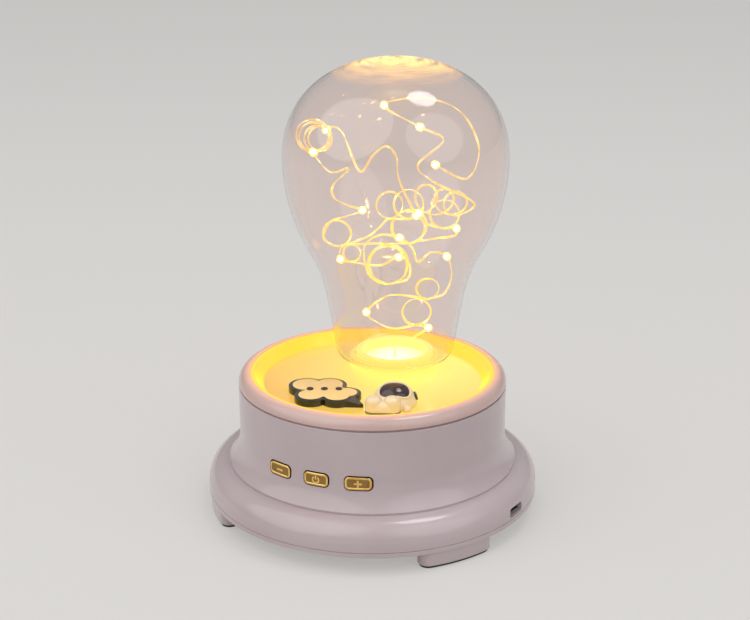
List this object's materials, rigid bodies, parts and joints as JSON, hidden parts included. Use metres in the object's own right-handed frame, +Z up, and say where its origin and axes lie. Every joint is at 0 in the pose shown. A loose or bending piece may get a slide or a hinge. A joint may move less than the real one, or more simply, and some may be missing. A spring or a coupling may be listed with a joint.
{
  "type": "speaker lamp",
  "caption": "Table lamp with a built-in speaker: a round footed base with push buttons and a lit tray that holds a clear bulb-shaped globe with a string of fairy lights inside.",
  "frame": {"origin": "on the table under the middle of the base", "axes": "+Z up, the buttons face -Y, the globe stands towards +Y"},
  "size_m": [0.13, 0.1321, 0.1729],
  "materials": {
    "case_plastic": "smooth gloss",
    "rim_plastic": "smooth gloss",
    "tray_plastic": "translucent, lit from below",
    "lens_plastic": "frosted",
    "globe_glass": "clear",
    "string_wire": "thin bright wire",
    "light_drops": "clear drops, lit",
    "black_plastic": "gloss",
    "cream_plastic": "satin",
    "white_plastic": "gloss",
    "visor_plastic": "high gloss",
    "gold_plate": "gold plated",
    "soft_rubber": "matt",
    "board_green": "satin",
    "board_white": "satin",
    "dark_parts": "matt",
    "ivory_plugs": "satin",
    "steel": "plain",
    "cell_sleeve": "blue shrink sleeve",
    "frame_metal": "black satin",
    "ferrite": "matt",
    "cone_paper": "matt",
    "grille_fabric": "matt",
    "spider_fabric": "matt",
    "copper": "lacquered",
    "red_sleeve": "satin",
    "grey_sleeve": "satin"
  },
  "bodies": {
    "housing": {"bottom_cover": "case_plastic", "foot_front_left": "case_plastic", "foot_front_right": "case_plastic", "foot_rear_left": "case_plastic", "foot_rear_right": "case_plastic", "foot_pads": "soft_rubber", "base_ring": "case_plastic", "body_shell": "case_plastic", "rim_ring": "rim_plastic", "tray": "tray_plastic", "bulb_seat": "tray_plastic", "seat_lens": "lens_plastic", "bulb_globe": "globe_glass", "fairy_wire": "string_wire", "fairy_leds": "light_drops", "sign_plate": "black_plastic", "sign_face": "cream_plastic", "sign_dots": "black_plastic", "figure_helmet": "white_plastic", "figure_visor": "visor_plastic", "figure_suit": "white_plastic", "button_board": "board_green", "switch_bodies": "steel", "charge_board": "board_green", "charge_port": "steel", "main_board": "board_green", "main_board_parts": "dark_parts", "plug_housings": "ivory_plugs", "light_board": "board_white", "light_chips": "light_drops", "battery_cell": "cell_sleeve", "battery_cradle": "dark_parts", "battery_straps": "soft_rubber", "grille_cloth": "grille_fabric", "speaker_gasket": "soft_rubber", "speaker_frame": "frame_metal", "surround": "soft_rubber", "spider": "spider_fabric", "top_plate": "steel", "magnet": "ferrite", "pole_yoke": "steel", "cover_screws": "steel", "speaker_screws": "steel", "board_screws": "steel", "light_lead": "red_sleeve", "button_lead": "grey_sleeve", "battery_lead": "red_sleeve", "speaker_lead": "grey_sleeve", "charge_lead": "red_sleeve"},
    "button_minus_body": {"button_minus": "gold_plate", "plunger_minus": "dark_parts"},
    "button_power_body": {"button_power": "gold_plate", "plunger_power": "dark_parts"},
    "button_plus_body": {"button_plus": "gold_plate", "plunger_plus": "dark_parts"},
    "cone_body": {"speaker_cone": "cone_paper", "dust_cap": "cone_paper", "voice_coil": "copper"}
  },
  "joints": [
    {"name": "press_minus", "type": "slide", "parent": "housing", "child": "button_minus_body", "axis": [0, 1, 0], "range_m": [0, 0.0005], "stiffness_N_per_m": 1500, "springref_m": -0.0004},
    {"name": "press_power", "type": "slide", "parent": "housing", "child": "button_power_body", "axis": [0, 1, 0], "range_m": [0, 0.0005], "stiffness_N_per_m": 1500, "springref_m": -0.0004},
    {"name": "press_plus", "type": "slide", "parent": "housing", "child": "button_plus_body", "axis": [0, 1, 0], "range_m": [0, 0.0005], "stiffness_N_per_m": 1500, "springref_m": -0.0004},
    {"name": "cone_stroke", "type": "slide", "parent": "housing", "child": "cone_body", "axis": [0, 0, 1], "range_m": [-0.001, 0.001], "stiffness_N_per_m": 800, "deforming": ["surround", "spider"]}
  ]
}
